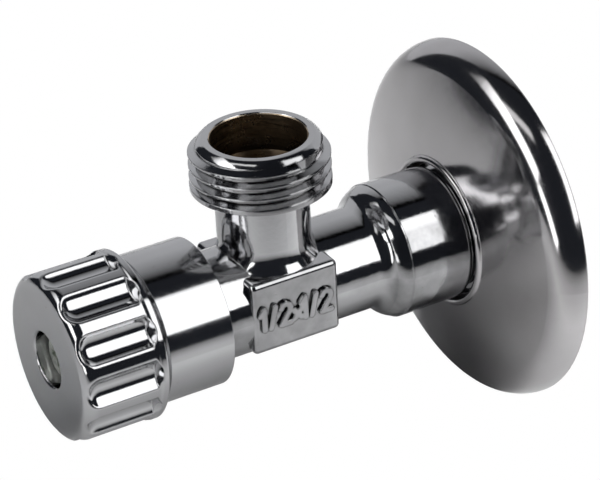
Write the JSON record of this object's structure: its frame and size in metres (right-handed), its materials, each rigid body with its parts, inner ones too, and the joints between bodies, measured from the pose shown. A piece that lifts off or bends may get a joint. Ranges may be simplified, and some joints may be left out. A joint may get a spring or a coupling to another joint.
{
  "type": "angle stop valve",
  "caption": "Chrome angle stop valve with a fluted knob, bonnet sleeve, upward male outlet, wall inlet nipple and domed wall rosette.",
  "frame": {"origin": "where the valve's main axis meets the finished wall, in the plane of the rosette's back rim", "axes": "+Y along the inlet into the wall, +Z along the outlet, the knob towards -Y"},
  "size_m": [0.057, 0.0854, 0.057],
  "materials": {
    "body_chrome": "polished chrome plate over forged brass; bores left as bright raw brass",
    "knob_chrome": "polished chrome plate",
    "sleeve_chrome": "polished chrome plate over drawn brass",
    "rosette_chrome": "polished chrome plate over pressed sheet",
    "brass": "turned brass",
    "zinc_steel": "zinc-plated steel, slightly dull",
    "fibre": "red sealing fibre",
    "white_plastic": "natural moulded acetal",
    "black_rubber": "moulded black rubber"
  },
  "bodies": {
    "valve": {"valve_body": "body_chrome", "bonnet_housing": "brass", "bonnet_gasket": "fibre", "thrust_washer": "white_plastic", "shroud_sleeve": "sleeve_chrome", "shroud_grip_ring": "black_rubber", "inlet_strainer": "white_plastic"},
    "handle": {"knob": "knob_chrome", "knob_insert": "white_plastic", "knob_screw": "zinc_steel", "knob_spring_washer": "zinc_steel", "spindle": "brass", "spindle_clip": "zinc_steel", "spindle_oring_front": "black_rubber", "spindle_oring_rear": "black_rubber"},
    "plug": {"sliding_plug": "brass", "plug_oring": "black_rubber", "seat_washer": "black_rubber", "washer_plate": "brass", "washer_screw": "zinc_steel"},
    "rosette": {"wall_flange": "rosette_chrome", "flange_grip_ring": "black_rubber"}
  },
  "joints": [
    {"name": "knob_turn", "type": "hinge", "parent": "valve", "child": "handle", "pos_m": [0, -0.07, 0], "axis": [0, -1, 0], "range_deg": [0, 720]},
    {"name": "plug_travel", "type": "slide", "parent": "valve", "child": "plug", "axis": [0, -1, 0], "range_m": [0, 0.003]},
    {"name": "rosette_slide", "type": "slide", "parent": "valve", "child": "rosette", "axis": [0, -1, 0], "range_m": [0, 0.008]}
  ],
  "couplings": [
    {"joint": "plug_travel", "follows": "knob_turn", "m_per_rad": 0.00023873}
  ]
}
